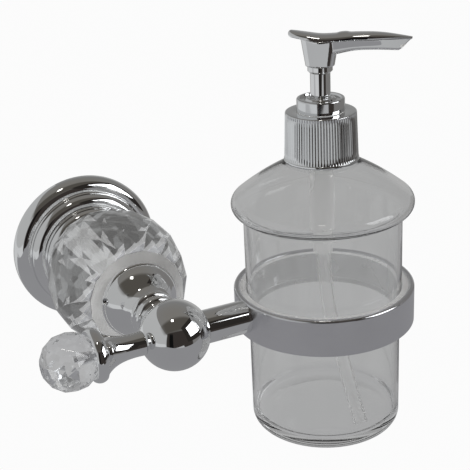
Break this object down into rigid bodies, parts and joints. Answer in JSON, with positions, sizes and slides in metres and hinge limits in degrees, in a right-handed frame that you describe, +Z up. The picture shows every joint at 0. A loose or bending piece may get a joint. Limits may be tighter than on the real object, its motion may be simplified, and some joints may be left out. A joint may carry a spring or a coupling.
{
  "type": "wall mounted soap dispenser",
  "caption": "Wall mounted liquid soap dispenser: crystal and chrome post with a ring that carries a glass bottle with a press pump.",
  "frame": {"origin": "centre of the wall bracket on the wall plane", "axes": "+Z up, +Y into the wall, the post stands out along -Y and the bottle is on the +X side"},
  "size_m": [0.1641, 0.1525, 0.1727],
  "materials": {
    "chrome": "polished",
    "ring_chrome": "polished",
    "collar_chrome": "ribbed, polished",
    "cut_crystal": "cut and polished",
    "bottle_glass": "clear",
    "clear_plastic": "translucent",
    "white_plastic": "gloss",
    "seal": "matt",
    "zinc_bracket": "plated",
    "steel": "plain"
  },
  "bodies": {
    "holder": {"wall_bracket": "zinc_bracket", "post_socket": "zinc_bracket", "socket_grub_screw": "steel", "escutcheon": "chrome", "rear_washer": "seal", "large_crystal": "cut_crystal", "front_washer": "seal", "bell_hub": "zinc_bracket", "bell_cup": "chrome", "bell_set_screw": "steel", "neck_collar": "chrome", "tie_rod": "steel", "joint_ball": "chrome", "trumpet_arm": "chrome", "finial_stud": "steel", "finial_crystal": "cut_crystal", "ring_arm": "chrome", "ring_screw": "steel", "holder_ring": "ring_chrome", "support_ring": "clear_plastic"},
    "bottle": {"bottle": "bottle_glass"},
    "pump": {"pump_housing": "clear_plastic", "neck_gasket": "seal", "locking_collar": "chrome", "dip_tube": "clear_plastic", "valve_cage": "clear_plastic", "return_spring": "steel"},
    "closure": {"closure_shell": "collar_chrome", "closure_cap": "white_plastic"},
    "plunger": {"piston": "white_plastic"},
    "head": {"pump_stem": "white_plastic", "stem_sleeve": "chrome", "stem_ferrule": "chrome", "head_body": "chrome", "head_cover": "chrome", "nozzle": "white_plastic"},
    "valve_ball": {"valve_ball": "steel"}
  },
  "joints": [
    {"name": "bottle_lift", "type": "slide", "parent": "holder", "child": "bottle", "axis": [0, 0, 1], "range_m": [0, 0.075]},
    {"name": "pump_lift", "type": "slide", "parent": "bottle", "child": "pump", "axis": [0, 0, 1], "range_m": [0, 0.006]},
    {"name": "closure_turn", "type": "hinge", "parent": "pump", "child": "closure", "pos_m": [0.07, -0.114, 0.07], "axis": [0, 0, 1], "range_deg": [0, 540]},
    {"name": "pump_press", "type": "slide", "parent": "pump", "child": "plunger", "axis": [0, 0, -1], "range_m": [0, 0.0085], "stiffness_N_per_m": 900, "springref_m": -0.005, "deforming": ["return_spring"]},
    {"name": "head_swivel", "type": "hinge", "parent": "plunger", "child": "head", "pos_m": [0.07, -0.114, 0.1], "axis": [0, 0, 1], "continuous": true},
    {"name": "valve_ball_lift", "type": "slide", "parent": "pump", "child": "valve_ball", "axis": [0, 0, 1], "range_m": [0, 0.0009]}
  ],
  "couplings": [
    {"joint": "closure_turn", "follows": "pump_lift", "rad_per_m": 1570.8}
  ]
}
